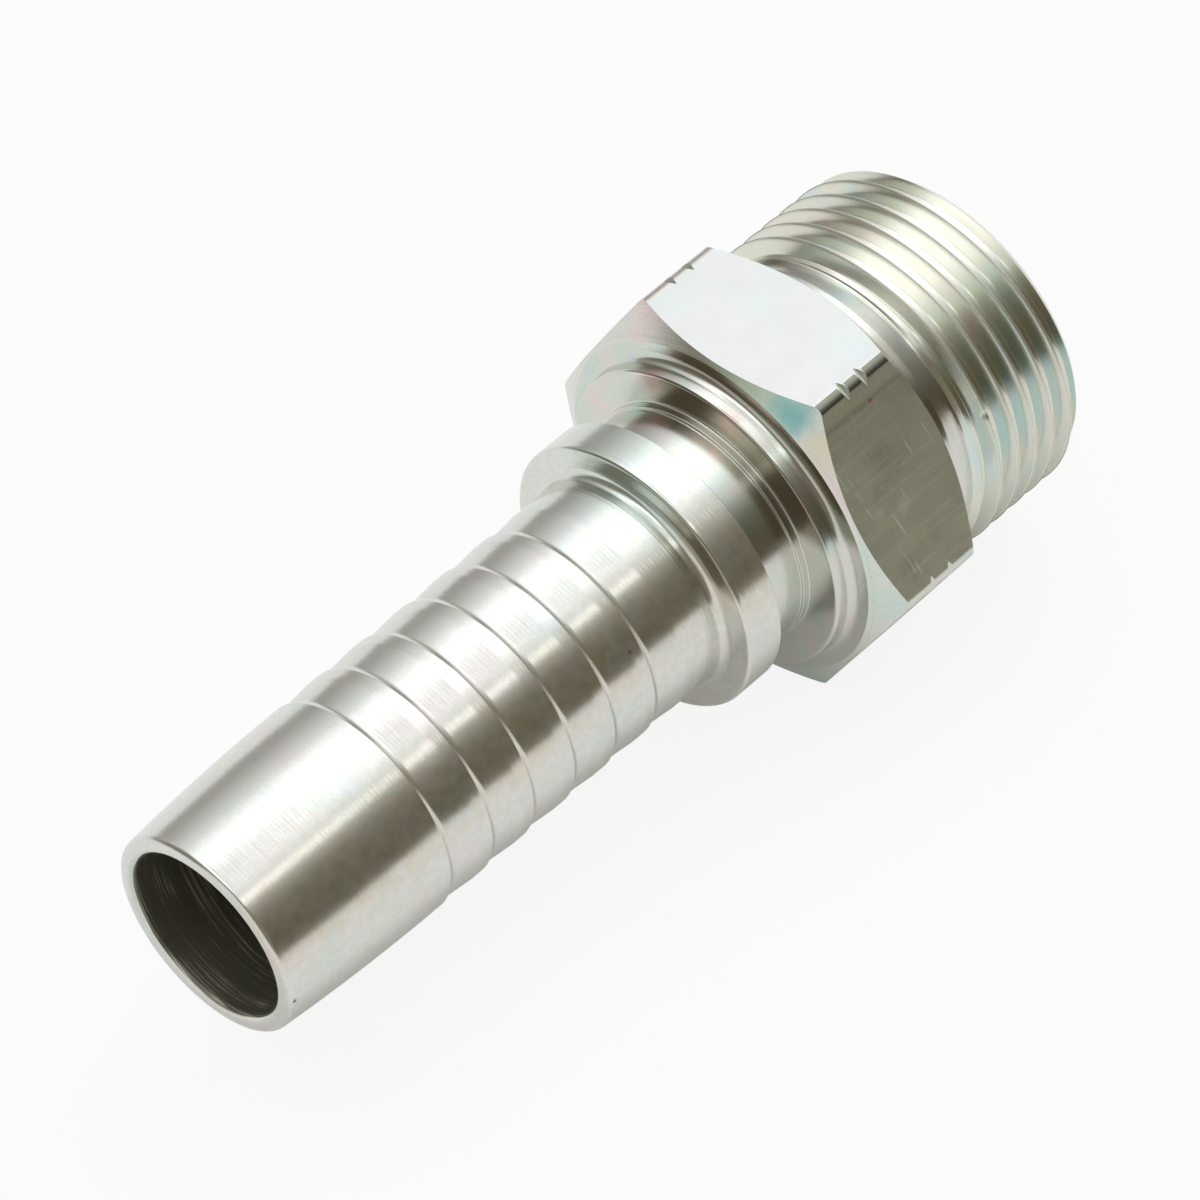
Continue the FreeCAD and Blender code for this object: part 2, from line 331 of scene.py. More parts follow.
@dataclass(frozen=True)
class Hexagon:
    """Wrench hexagon: its chamfers, its corner grooves and the bar that gives it its flats."""

    front: float = 57.8
    back: float = 69.2
    across_flats: float = 32.0
    corner_rounding: float = 1.13
    corner_steps: int = 8
    circle_radius: float = 15.6
    front_slope: float = 33.0
    back_slope: float = 36.0
    reach: float = 20.0
    groove_spacing: float = 2.05
    groove_floor: float = 17.98
    groove_rounding: float = 0.05
    chamfer_width: float = 2.6  # how far the chamfers reach along the hexagon

    def corners(self) -> list[Corner]:
        """Corners of the turned outline over the hexagon, out past the bar and back."""
        climb = self.reach - self.circle_radius
        front_top = self.front + climb * math.tan(math.radians(self.front_slope))
        back_top = self.back - climb * math.tan(math.radians(self.back_slope))
        half_width = self.reach - self.groove_floor
        middle = (self.front + self.back) / 2
        first = middle - self.groove_spacing / 2
        second = middle + self.groove_spacing / 2
        return [
            Corner(self.front, self.circle_radius),
            Corner(front_top, self.reach),
            Corner(first - half_width, self.reach),
            Corner(first, self.groove_floor, self.groove_rounding),
            Corner(middle, self.groove_floor + self.groove_spacing / 2),
            Corner(second, self.groove_floor, self.groove_rounding),
            Corner(second + half_width, self.reach),
            Corner(back_top, self.reach),
            Corner(self.back, self.circle_radius),
        ]

    def bar(self, start: float, end: float) -> Object:
        """Hexagon bar with drawn corners, longer than the fitting.

        Args:
            start: station of its near end in millimetres.
            end: station of its far end.

        Returns:
            The bar, a flat on top and a flat below.
        """
        bpy.ops.mesh.primitive_cylinder_add(
            vertices=6,
            radius=self.across_flats / math.sqrt(3) * MM,
            depth=(end - start) * MM,
            location=((start + end) / 2 * MM, 0, 0),
            rotation=(0, math.pi / 2, 0),
        )
        bar = bpy.context.object
        bar.name = "hexagon_bar"
        bpy.ops.object.transform_apply()
        bpy.ops.object.mode_set(mode="EDIT")
        bpy.ops.mesh.select_all(action="DESELECT")
        bpy.ops.object.mode_set(mode="OBJECT")
        for edge in bar.data.edges:
            one, other = (bar.data.vertices[index].co for index in edge.vertices)
            edge.select = abs(one.x - other.x) > MM
        bpy.ops.object.mode_set(mode="EDIT")
        bpy.ops.mesh.select_mode(type="EDGE")
        reach = self.corner_rounding * math.tan(math.radians(30))
        bpy.ops.mesh.bevel(offset=reach * MM, segments=self.corner_steps, affect="EDGES")
        bpy.ops.mesh.select_mode(type="VERT")
        bpy.ops.object.mode_set(mode="OBJECT")
        return bar


@dataclass(frozen=True)
class Thread:
    """Shoulder, relief and right-hand thread."""

    shoulder_radius: float = 14.3
    shoulder_end: float = 70.6
    shoulder_root: float = 0.2
    shoulder_rounding: float = 0.9
    relief_foot: float = 72.4
    relief_rounding: float = 0.3
    major_radius: float = 15.08
    root_radius: float = 13.86
    end: float = 85.0
    end_chamfer: float = 1.2
    end_rounding: float = 0.06
    pitch: float = 2.117
    flank_angle: float = 30.0  # between a flank and a plane across the axis
    crest_flat: float = 0.20
    crest_rounding: float = 0.36
    root_rounding: float = 0.14
    first_valley: float = 71.89  # where the coil starts, under the fitting
    turns: int = 7
    cutter_rise: float = 0.6  # how far the cutter reaches over the crests
    cutter_lip: float = 0.004  # how far over and under the crests its edges turn

    def corners(self) -> list[Corner]:
        """Corners of the turned outline from the back of the hexagon to the end face."""
        rise = self.major_radius - self.root_radius
        return [
            Corner(Hexagon.back, self.shoulder_radius, self.shoulder_root),
            Corner(self.shoulder_end, self.shoulder_radius, self.shoulder_rounding),
            Corner(self.relief_foot, self.root_radius, self.relief_rounding),
            Corner(self.relief_foot + rise, self.major_radius),
            Corner(self.end - self.end_chamfer, self.major_radius),
            Corner(self.end, self.major_radius - self.end_chamfer, self.end_rounding),
        ]

    def cutter(self) -> Object:
        """Helical shape of the space between the crests.

        Returns:
            A closed coil of triangular section that reaches past both ends of the thread.
        """
        slope = math.tan(math.radians(90 - self.flank_angle))
        half_gap = (self.pitch - self.crest_flat) / 2
        half_root = half_gap - (self.major_radius - self.root_radius) / slope
        rounded = self.crest_rounding * math.tan(math.radians(self.flank_angle))
        half_width = half_gap + rounded + self.cutter_lip
        top = self.major_radius + self.cutter_rise
        over = self.major_radius + self.cutter_lip
        under = self.major_radius - self.cutter_lip
        half = [
            Corner(half_width, top),
            Corner(half_width, over),
            Corner(half_gap, under, self.crest_rounding),
            Corner(half_root, self.root_radius, self.root_rounding),
        ]
        other_half = [Corner(-one.station, one.radius, one.rounding) for one in half]
        drawn = Outline(other_half + half[::-1]).points()
        places = [Vector((point.x + self.first_valley, -point.y)) for point in drawn]
        coil = Bench.draw("thread_cutter", places)
        bpy.ops.object.mode_set(mode="OBJECT")
        Bench.apply(
            coil,
            "SCREW",
            axis="X",
            steps=STEPS_ROUND,
            iterations=self.turns,
            screw_offset=self.pitch * MM,
            use_smooth_shade=False,
        )
        bpy.ops.object.mode_set(mode="EDIT")
        Bench.weld()
        bpy.ops.mesh.select_all(action="DESELECT")
        bpy.ops.mesh.select_non_manifold()
        bpy.ops.mesh.fill_holes(sides=0)
        Bench.close_up()
        return coil


@dataclass
class HoseFitting:
    """The whole fitting, turned, cut and dressed as one piece."""

    tail: HoseTail = HoseTail()
    neck: Neck = Neck()
    hexagon: Hexagon = Hexagon()
    thread: Thread = Thread()
    bore_radius: float = 7.5
    tail_mouth: float = 0.55
    thread_mouth: float = 1.0
    bar_margin: float = 5.0  # how far the bar stands out past both ends
    bore_band: float = 0.1  # faces this close over the bore belong to it
    chamfer_lean: float = 0.3  # least part of a chamfer's normal along the axis
    flat_lean: float = 0.05  # and the most of a flat's
    flat_turn: float = 2.0  # degrees that a flat's normal may be off

    def outline(self) -> Outline:
        """Half section of the turned blank, bore included."""
        bore = [
            Corner(self.thread.end, self.bore_radius + self.thread_mouth),
            Corner(self.thread.end - self.thread_mouth, self.bore_radius),
            Corner(0, self.bore_radius, self.tail_mouth),
        ]
        parts = (self.tail, self.neck, self.hexagon, self.thread)
        return Outline([corner for part in parts for corner in part.corners()] + bore)

    def build(self) -> Object:
        """Turn the blank, give it its flats, cut the thread and set it in the frame's place.

        Returns:
            The finished piece.
        """
        piece = Bench.spin("fitting_dressed", self.outline())
        bar = self.hexagon.bar(-self.bar_margin, self.thread.end + self.bar_margin)
        Bench.combine(piece, bar, Cut.COMMON)
        Bench.combine(piece, self.thread.cutter(), Cut.AWAY)
        Bench.take(piece)
        bpy.ops.object.mode_set(mode="EDIT")
        bpy.ops.mesh.select_all(action="SELECT")
        bpy.ops.transform.translate(value=(-self.thread.end / 2 * MM, 0, AXIS_HEIGHT))
        bpy.ops.object.mode_set(mode="OBJECT")
        return piece

    def area_of(self, face: MeshPolygon) -> Area:
        """Find which area of the fitting a face belongs to, by its place and normal."""
        station = face.center.x / MM + self.thread.end / 2
        across = Vector((0, face.center.y, face.center.z - AXIS_HEIGHT))
        outward = Vector((0, face.normal.y, face.normal.z))
        if across.length < (self.bore_radius + self.bore_band) * MM and outward.dot(across) < 0:
            return Area.BORE
        if station < self.neck.start:
            return Area.TAIL
        if station > self.thread.relief_foot:
            return Area.THREAD
        if across.length < self.hexagon.circle_radius * MM:
            return Area.TURNED
        edge = min(station - self.hexagon.front, self.hexagon.back - station)
        if edge < self.hexagon.chamfer_width and abs(face.normal.x) > self.chamfer_lean:
            return Area.CHAMFER
        turn = math.degrees(math.atan2(outward.y, outward.z)) % 60
        flat = min(turn, 60 - turn) < self.flat_turn and abs(face.normal.x) < self.flat_lean
        return Area.FLAT if flat else Area.CORNER

    def dress(self, piece: Object, finishes: dict[Area, Material]) -> None:
        """Give each area its finish and smooth all but the real edges.

        Args:
            piece: the built piece.
            finishes: one material for each area.
        """
        piece.data.materials.clear()
        for area in Area:
            piece.data.materials.append(finishes[area])
        for face in piece.data.polygons:
            face.material_index = self.area_of(face).value
        Bench.take(piece)
        bpy.ops.object.shade_smooth_by_angle(angle=math.radians(SMOOTH_BELOW))
        Bench.apply(piece, "WEIGHTED_NORMAL", mode="FACE_AREA", keep_sharp=True, weight=AREA_WEIGHT)
        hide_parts("fitting_body")
        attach(piece, "root")


# Finishes


@dataclass(frozen=True)
class Signal:
    """An output socket of a node, in sums and products as a number would be."""

    paint: "Nodes"
    socket: NodeSocket

    def __add__(self, other: "Signal | float") -> "Signal":
        """This value plus another."""
        return self.paint.math("ADD", self, other)

    __radd__ = __add__

    def __sub__(self, other: "Signal | float") -> "Signal":
        """This value less another."""
        return self.paint.math("SUBTRACT", self, other)

    def __rsub__(self, other: float) -> "Signal":
        """A number less this value."""
        return self.paint.math("SUBTRACT", other, self)

    def __mul__(self, other: "Signal | float") -> "Signal":
        """This value times another."""
        return self.paint.math("MULTIPLY", self, other)

    def __truediv__(self, other: "Signal | float") -> "Signal":
        """This value over another."""
        return self.paint.math("DIVIDE", self, other)

    def fade(self, low: float, high: float) -> "Signal":
        """0 below low, 1 above high, and smooth between."""
        inputs = {"Value": self, "From Min": low, "From Max": high}
        return self.paint.node("MapRange", inputs, interpolation_type="SMOOTHSTEP")

    def band(self, low: float, high: float, soft: float = 0.0002) -> "Signal":
        """1 between low and high, and 0 a soft width outside them."""
        return self.fade(low - soft, low) * (1.0 - self.fade(high, high + soft))


class Nodes:
    """The nodes of a material or of the world, reached through expressions."""

    MIX_FIRST = 6
    MIX_SECOND = 7
    MIX_RESULT = 2

    def __init__(self, tree: NodeTree) -> None:
        """Take the tree that the nodes go into."""
        self.tree = tree

    def node(
        self, kind: str, inputs: dict[str | int, object], output: str | int = 0, **settings: object
    ) -> Signal:
        """Add a node.

        Args:
            kind: the node's type, less the ShaderNode that all of them start with.
            inputs: values or signals by socket.
            output: the socket that is wanted.
            settings: the node's own; "stops" fills a ramp with (place, colour) pairs.

        Returns:
            The wanted output.
        """
        node = self.tree.nodes.new("ShaderNode" + kind)
        for name, value in settings.items():
            if name == "stops":
                self._fill(node.color_ramp, value)
            else:
                setattr(node, name, value)
        for key, value in inputs.items():
            self.give(node.inputs[key], value)
        return Signal(self, node.outputs[output])

    def give(self, socket: NodeSocket, value: object) -> None:
        """Give an input a value, or link a signal to it."""
        if isinstance(value, Signal):
            self.tree.links.new(value.socket, socket)
        else:
            socket.default_value = value

    @staticmethod
    def _fill(ramp: ColorRamp, stops: list[tuple[float, Colour]]) -> None:
        """Give a ramp its stops."""
        while len(ramp.elements) < len(stops):
            ramp.elements.new(1.0)
        for element, (place, colour) in zip(ramp.elements, stops):
            element.position = place
            element.color = (*colour, 1.0)

    def math(self, operation: str, first: Signal | float, second: Signal | float = 0.0) -> Signal:
        """One Math node."""
        return self.node("Math", {0: first, 1: second}, operation=operation)

    def blend(self, share: Signal, first: Signal | Colour, second: Signal | Colour) -> Signal:
        """Mix two colours by a share from 0 to 1."""
        inputs: dict[int, object] = {0: share}
        for socket, tone in ((self.MIX_FIRST, first), (self.MIX_SECOND, second)):
            inputs[socket] = tone if isinstance(tone, Signal) else (*tone, 1.0)
        return self.node("Mix", inputs, self.MIX_RESULT, data_type="RGBA")

    def layered(self, colour: Signal, *layers: tuple[Signal, Colour]) -> Signal:
        """A colour with others laid over it one by one, each by its own share."""
        for share, tint in layers:
            colour = self.blend(share, colour, tint)
        return colour

    def noise(
        self, scale: float, detail: float, along: Signal | None = None, where: Signal | None = None
    ) -> Signal:
        """Noise in space, or along one measure when that is given."""
        if along is not None:
            inputs = {"W": along, "Scale": scale, "Detail": detail}
            return self.node("TexNoise", inputs, noise_dimensions="1D")
        inputs = {"Vector": where or self.place(), "Scale": scale, "Detail": detail}
        return self.node("TexNoise", inputs)

    def finish(self, surface: Signal) -> None:
        """Lead a shader to the tree's output."""
        output = next(node for node in self.tree.nodes if node.type.startswith("OUTPUT"))
        self.tree.links.new(surface.socket, output.inputs["Surface"])

    def place(self) -> Signal:
        """Place on the piece, in metres."""
        return self.node("TexCoord", {}, "Object")

    def split(self, vector: Signal) -> list[Signal]:
        """The three measures of a vector."""
        return [self.node("SeparateXYZ", {0: vector}, index) for index in range(3)]

    def measures(self) -> tuple[Signal, Signal, Signal, Signal]:
        """Station along the axis, distance from it, side and height over it, in metres."""
        station, side, up = self.split(self.place())
        height = up - AXIS_HEIGHT
        radius = self.math("SQRT", side * side + height * height)
        return station, radius, side, height


class Paint(Nodes):
    """A material with one Principled shader."""

    def __init__(self, name: str) -> None:
        """Start a material with only its Principled shader."""
        self.material = bpy.data.materials.new(name)
        self.material.use_nodes = True
        super().__init__(self.material.node_tree)
        self.shader = next(node for node in self.tree.nodes if node.type == "BSDF_PRINCIPLED")

    def feed(self, socket: str, value: Signal | float) -> None:
        """Give the shader a value or a signal."""
        self.give(self.shader.inputs[socket], value)

    def bump(self, height: Signal) -> None:
        """Let a height in metres feed the shader's normal."""
        self.feed("Normal", self.node("Bump", {"Height": height, "Distance": 1.0}))

    def streaks(self, detail: float, scales: Span, lean: Span = (0.0, 0.0)) -> Signal:
        """Noise drawn out into streaks, by a scale along them and one across, after a lean."""
        turned = self.node("Mapping", {"Vector": self.place(), "Rotation": (0.0, *lean)})
        stretch = (scales[0], scales[1], scales[1])
        stretched = self.node("Mapping", {"Vector": turned, "Scale": stretch})
        return self.noise(1.0, detail, where=stretched)

    def spot(self, mark: "Spot") -> Signal:
        """How much of a spot lies here, from 0 to its strength, with an uneven rim."""
        inputs = {0: self.place(), 1: mark.place}
        away = self.node("VectorMath", inputs, "Value", operation="DISTANCE")
        uneven = away + (self.noise(1.5 / mark.reach, 2.0) - 0.5) * mark.reach * 0.8
        return (1.0 - uneven.fade(mark.reach * 0.1, mark.reach)) * mark.strength

    def spotted(self, colour: Signal, marks: "tuple[Spot, ...]") -> Signal:
        """A colour with spots on it."""
        return self.layered(colour, *((self.spot(mark), mark.colour) for mark in marks))

    def film(self, scale: float, tints: "Tints") -> Signal:
        """Colours of the passivation film, in soft patches."""
        places = (0.30, 0.42, 0.50, 0.60, 0.72)
        colours = (tints.rose, tints.neutral, tints.neutral, tints.green, tints.blue)
        return self.node("ValToRGB", {0: self.noise(scale, 3.0)}, stops=[*zip(places, colours)])


@dataclass(frozen=True)
class Spot:
    """A small mark or dent: its place in metres, its reach, its colour if any, its strength."""

    place: Triple
    reach: float
    colour: Colour = (0.0, 0.0, 0.0)
    strength: float = 1.0


@dataclass(frozen=True)
class Tints:
    """Colours that the film over the zinc runs through."""

    neutral: Colour = (0.72, 0.715, 0.67)
    green: Colour = (0.665, 0.725, 0.635)
    rose: Colour = (0.78, 0.68, 0.65)
    blue: Colour = (0.65, 0.71, 0.71)


@dataclass(frozen=True)
class ZincPlating:
    """Bright zinc over turned steel, with the faint colours of its clear passivation."""

    name: str = "turned_zinc"
    tints: Tints = Tints()
    film_scale: float = 300.0
    metallic: float = 1.0
    roughness: float = 0.19
    roughness_spread: float = 0.12
    feed_depth: float = 3.0e-6  # height of the turning marks, in metres
    grain_depth: float = 1.2e-6
    wave_depth: float = 2.0e-5
    ridge_spacing: float = 0.00038  # how far the tool went in one turn
    ridge_depth: float = 0.0
    speckle: float = 0.08  # share of the fine dark speckle
    mottle: float = 0.0  # how much the plating's lustre comes and goes
    mottle_scale: float = 1300.0
    feed_scale: float = 2300.0
    fine_scale: float = 9000.0
    grain_scale: float = 5200.0
    wear_scale: float = 420.0
    wave_scale: float = 260.0
    speck: Colour = (0.40, 0.38, 0.30)
    lustreless: Colour = (0.74, 0.63, 0.48)
    painted_shade_until: Span = (0.0030, 0.0065)  # where the painted shade of the recesses ends, across the fitting
    painted_shade_above: Span = (0.0045, 0.0065)  # and where it starts, over the axis
    dent_depth: float = 3.0e-5
    marks: tuple[Spot, ...] = ()
    dents: tuple[Spot, ...] = ()

    def material(self) -> Material:
        """Build the material."""
        paint = Paint(self.name)
        station, radius, _, _ = paint.measures()
        lathe = station + radius
        feed = paint.noise(self.feed_scale, 2.0, along=lathe)
        fine = paint.noise(self.fine_scale, 2.0, along=lathe)
        grain = paint.noise(self.grain_scale, 2.0)
        wear = paint.noise(self.wear_scale, 4.0)
        specks = (grain.fade(0.50, 0.68) + feed.fade(0.55, 0.75) * 0.5) * self.speckle
        lustre = paint.noise(self.mottle_scale, 3.0).fade(0.36, 0.64)
        colour = paint.film(self.film_scale, self.tints)
        dim = lustre * self.mottle
        colour = paint.layered(colour, (specks, self.speck), (dim, self.lustreless))
        paint.feed("Base Color", paint.spotted(self.painted_light_and_dirt(paint, colour), self.marks))
        paint.feed("Metallic", self.metallic - dim * 0.45)
        spread = (wear * 0.6 + feed * 0.4 - 0.5) * self.roughness_spread
        paint.feed("Roughness", self.roughness + spread + self.dulled(radius))
        height = (feed * 0.7 + fine * 0.3) * self.feed_depth + grain * self.grain_depth
        height = height + paint.noise(self.wave_scale, 1.0) * self.wave_depth
        if self.ridge_depth:
            ridges = paint.math("SINE", lathe * (math.tau / self.ridge_spacing))
            height = height + ridges * self.ridge_depth
        for dent in self.dents:
            height = height - paint.spot(dent) * self.dent_depth
        paint.bump(height)
        return paint.material

    def painted_light_and_dirt(self, paint: Paint, colour: Signal) -> Signal:
        """The colour with this area's own painted light and stains on it; here there are none."""
        return colour

    def dulled(self, radius: Signal) -> Signal | float:
        """Roughness that wear adds at a distance from the axis; here there is none."""
        return 0.0

    def facing(self, paint: Paint, turn: float) -> Signal:
        """How far a place faces a direction, in degrees from the top to the near side."""
        _, radius, side, height = paint.measures()
        angle = math.radians(turn)
        return (height * math.cos(angle) - side * math.sin(angle)) / radius

    def painted_shade_side(self, paint: Paint) -> Signal:
        """1 on the upper near part, where recesses get painted shade, and 0 elsewhere."""
        _, _, side, height = paint.measures()
        return (1.0 - side.fade(*self.painted_shade_until)) * height.fade(*self.painted_shade_above)

    def ring(self, paint: Paint, stations: Span, radii: Span) -> Signal:
        """1 between two stations and beyond a radius, on the side with painted shade only."""
        station, radius, _, _ = paint.measures()
        return station.band(*stations) * radius.fade(*radii) * self.painted_shade_side(paint)


@dataclass(frozen=True)
class TurnedZinc(ZincPlating):
    """Plating of the neck, the boss and the shoulder, with painted shade in their recesses on the
    upper near side.
    """

    # painted shade for the boss's front face and the hollow round its root
    painted_shade: Colour = (0.25, 0.215, 0.15)
    # the three spots on the shoulder behind the hexagon and the two on the boss's front face are
    # painted shade
    marks: tuple[Spot, ...] = (
        Spot((0.02810, -0.01127, 0.02480), 0.0040, (0.36, 0.28, 0.21), 0.6),
        Spot((0.02860, -0.00640, 0.02860), 0.0032, (0.40, 0.36, 0.29), 0.55),
        Spot((0.02890, 0.00720, 0.02820), 0.0042, (0.24, 0.235, 0.18), 0.8),
        Spot((0.01350, 0.00510, 0.02830), 0.0016, (0.66, 0.45, 0.40), 0.7),
        Spot((0.01350, -0.00280, 0.02920), 0.0017, (0.50, 0.36, 0.30), 0.6),
    )

    def painted_light_and_dirt(self, paint: Paint, colour: Signal) -> Signal:
        """The colour with painted shade on the boss's front face and in the hollow round its root.
        """
        face = self.ring(paint, (0.0133, 0.01353), (0.0112, 0.0116))
        hollow = self.ring(paint, (0.0150, 0.0160), (0.0141, 0.0145))
        return paint.blend(face * 0.85 + hollow * 0.8, colour, self.painted_shade)


@dataclass(frozen=True)
class CornerZinc(ZincPlating):
    """Plating of the rounded corners, with a painted dark reflection along the upper one on the
    near side.
    """

    name: str = "corner_zinc"
    roughness: float = 0.30
    # painted dark reflection along the upper corner
    dark: Colour = (0.17, 0.17, 0.125)
    painted_dark_above: Span = (0.0306, 0.0309)
    painted_dark_until: Span = (-0.002, 0.002)  # across the fitting
    grooves: Span = (0.019975, 0.022025)  # where the grooves cross the corners, left out of the painted dark
    groove_half: float = 0.0003

    def painted_light_and_dirt(self, paint: Paint, colour: Signal) -> Signal:
        """The colour with the painted dark reflection on it."""
        along, side, up = paint.split(paint.place())
        painted_dark = up.fade(*self.painted_dark_above) * (1.0 - side.fade(*self.painted_dark_until))
        for groove in self.grooves:
            bare_groove = along.band(groove - self.groove_half, groove + self.groove_half, 0.0001)
            painted_dark = painted_dark * (1.0 - bare_groove)
        return paint.blend(painted_dark * 0.85, colour, self.dark)


@dataclass(frozen=True)
class TailZinc(ZincPlating):
    """The tail's plating: duller, with a fine grain and clear turning marks."""

    name: str = "tail_zinc"
    tints: Tints = Tints(
        (0.79, 0.795, 0.765), (0.755, 0.795, 0.75), (0.81, 0.775, 0.76), (0.745, 0.79, 0.80)
    )
    film_scale: float = 220.0
    metallic: float = 0.92
    roughness: float = 0.20
    roughness_spread: float = 0.08
    feed_depth: float = 1.0e-5
    ridge_depth: float = 7.0e-7
    speckle: float = 0.05
    mottle: float = 0.13
    # painted shade for the collar's front face
    painted_shade: Colour = (0.30, 0.29, 0.21)
    marks: tuple[Spot, ...] = (
        Spot((-0.04192, -0.00901, 0.01525), 0.00030, (0.10, 0.10, 0.08)),
        Spot((-0.00389, -0.00820, 0.02116), 0.00022, (0.25, 0.24, 0.18)),
        Spot((-0.03020, -0.00710, 0.02230), 0.00016, (0.22, 0.20, 0.15), 0.8),
        Spot((0.00550, 0.00250, 0.02750), 0.00900, (0.68, 0.79, 0.73), 0.6),
    )
    # painted brown reflection along the near side
    brown: Colour = (0.76, 0.62, 0.44)
    brown_reflection_turn: float = 52.0  # middle of the painted brown reflection, in degrees from the top to the near side

    def painted_light_and_dirt(self, paint: Paint, colour: Signal) -> Signal:
        """The colour with a painted brown reflection along the near side and painted shade on the
        collar's front face.
        """
        patchy = 0.3 + paint.noise(520.0, 3.0).fade(0.35, 0.65) * 0.7
        brown = self.facing(paint, self.brown_reflection_turn).fade(0.88, 0.985) * patchy
        face = self.ring(paint, (0.0049, 0.00515), (0.0103, 0.0107))
        return paint.layered(colour, (brown * 0.45, self.brown), (face * 0.85, self.painted_shade))


@dataclass(frozen=True)
class ThreadZinc(ZincPlating):
    """Softer plating over the cut thread, with a few nicks in its first crest."""

    name: str = "thread_zinc"
    tints: Tints = Tints(
        (0.80, 0.805, 0.715), (0.76, 0.81, 0.71), (0.835, 0.765, 0.71), (0.73, 0.795, 0.775)
    )
    # painted blue sheen along the near flanks
    blue: Colour = (0.60, 0.77, 0.79)
    blue_sheen_turn: float = 73.0  # middle of the painted blue sheen, in degrees from the top to the near side
    # painted highlight on the top of the thread
    pale: Colour = (0.93, 0.92, 0.865)
    painted_highlight_turn: float = 12.0  # the same for the painted highlight
    flanks: Span = (0.0141, 0.0146)  # radii between which the flanks lie
    crests: Span = (0.01475, 0.01500)  # radii over which the crests are rubbed
    roughness: float = 0.20
    crest_wear: float = 0.16  # roughness that the crests have over the rest
    marks: tuple[Spot, ...] = (
        Spot((0.03178, -0.01350, 0.02245), 0.00045, (0.20, 0.20, 0.15), 0.75),
        Spot((0.03146, -0.01275, 0.02392), 0.00035, (0.22, 0.22, 0.17), 0.6),
    )
    grain_depth: float = 6.0e-7
    speckle: float = 0.04
    dents: tuple[Spot, ...] = (
        Spot((0.03175, -0.01346, 0.02259), 0.0006),
        Spot((0.03144, -0.01268, 0.02401), 0.0005, strength=0.7),
        Spot((0.03200, -0.01400, 0.02120), 0.0004, strength=0.6),
    )

    def painted_light_and_dirt(self, paint: Paint, colour: Signal) -> Signal:
        """The colour with a painted highlight on top and a painted blue sheen along the near
        flanks.
        """
        _, radius, _, _ = paint.measures()
        pale = self.facing(paint, self.painted_highlight_turn).fade(0.91, 0.99)
        blue = self.facing(paint, self.blue_sheen_turn).fade(0.93, 0.99) * radius.band(*self.flanks)
        return paint.layered(colour, (pale * 0.55, self.pale), (blue * 0.55, self.blue))

    def dulled(self, radius: Signal) -> Signal | float:
        """Roughness of the rubbed crests."""
        return radius.fade(*self.crests) * self.crest_wear


@dataclass(frozen=True)
class ChamferZinc(ZincPlating):
    """Plating of the hexagon's chamfers, where the film's colours are strongest."""

    name: str = "chamfer_zinc"
    tints: Tints = Tints(
        (0.76, 0.76, 0.72), (0.68, 0.77, 0.70), (0.83, 0.73, 0.71), (0.66, 0.75, 0.77)
    )
    film_scale: float = 150.0
    roughness: float = 0.24
    speckle: float = 0.15
    marks: tuple[Spot, ...] = (
        Spot((0.01580, -0.00300, 0.03160), 0.0062, (0.44, 0.52, 0.38), 0.75),
        Spot((0.01630, -0.01070, 0.02940), 0.0034, (0.76, 0.66, 0.48), 0.7),
        Spot((0.01573, -0.01300, 0.02650), 0.0036, (0.80, 0.64, 0.60), 0.6),
        Spot((0.01590, -0.00745, 0.03115), 0.0030, (0.17, 0.46, 0.47), 0.8),
    )


